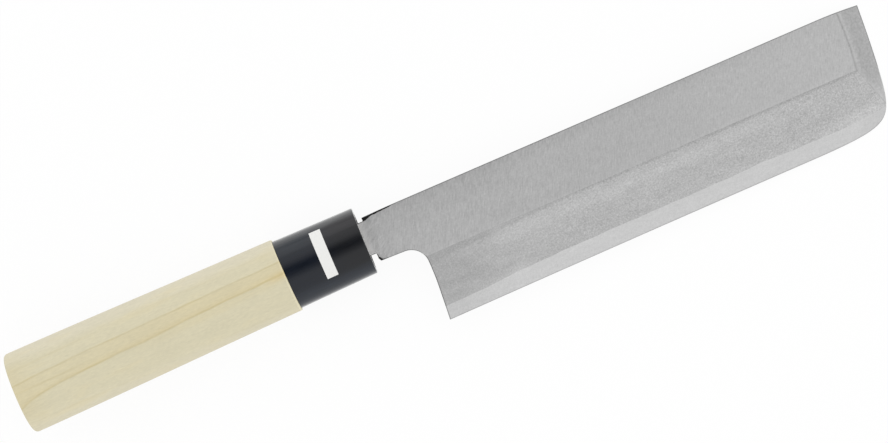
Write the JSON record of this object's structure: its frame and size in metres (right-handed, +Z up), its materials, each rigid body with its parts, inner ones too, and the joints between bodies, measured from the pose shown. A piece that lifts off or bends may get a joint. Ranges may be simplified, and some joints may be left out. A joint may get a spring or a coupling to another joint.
{
  "type": "usuba knife",
  "caption": "Square-ended single-bevel vegetable knife with a laminated blade, ground ridge, hollow back, oval wooden handle and black collar.",
  "frame": {"origin": "on the table under the middle of the knife's box", "axes": "+X from the butt of the handle to the tip, +Y to the spine, +Z up from the table, bevel side up"},
  "size_m": [0.3124, 0.049, 0.0258],
  "materials": {
    "blade_iron": "ground soft iron, satin with fine slanted scratches above the ridge and a misty grain on the bevel",
    "edge_steel": "bright ground hard steel",
    "handle_wood": "bare sanded magnolia, fine straight grain",
    "collar_black": "polished black",
    "label_paper": "plain white paper"
  },
  "bodies": {
    "root": {"blade_iron": "blade_iron", "edge_steel": "edge_steel", "handle": "handle_wood", "collar": "collar_black", "label": "label_paper"}
  },
  "joints": []
}
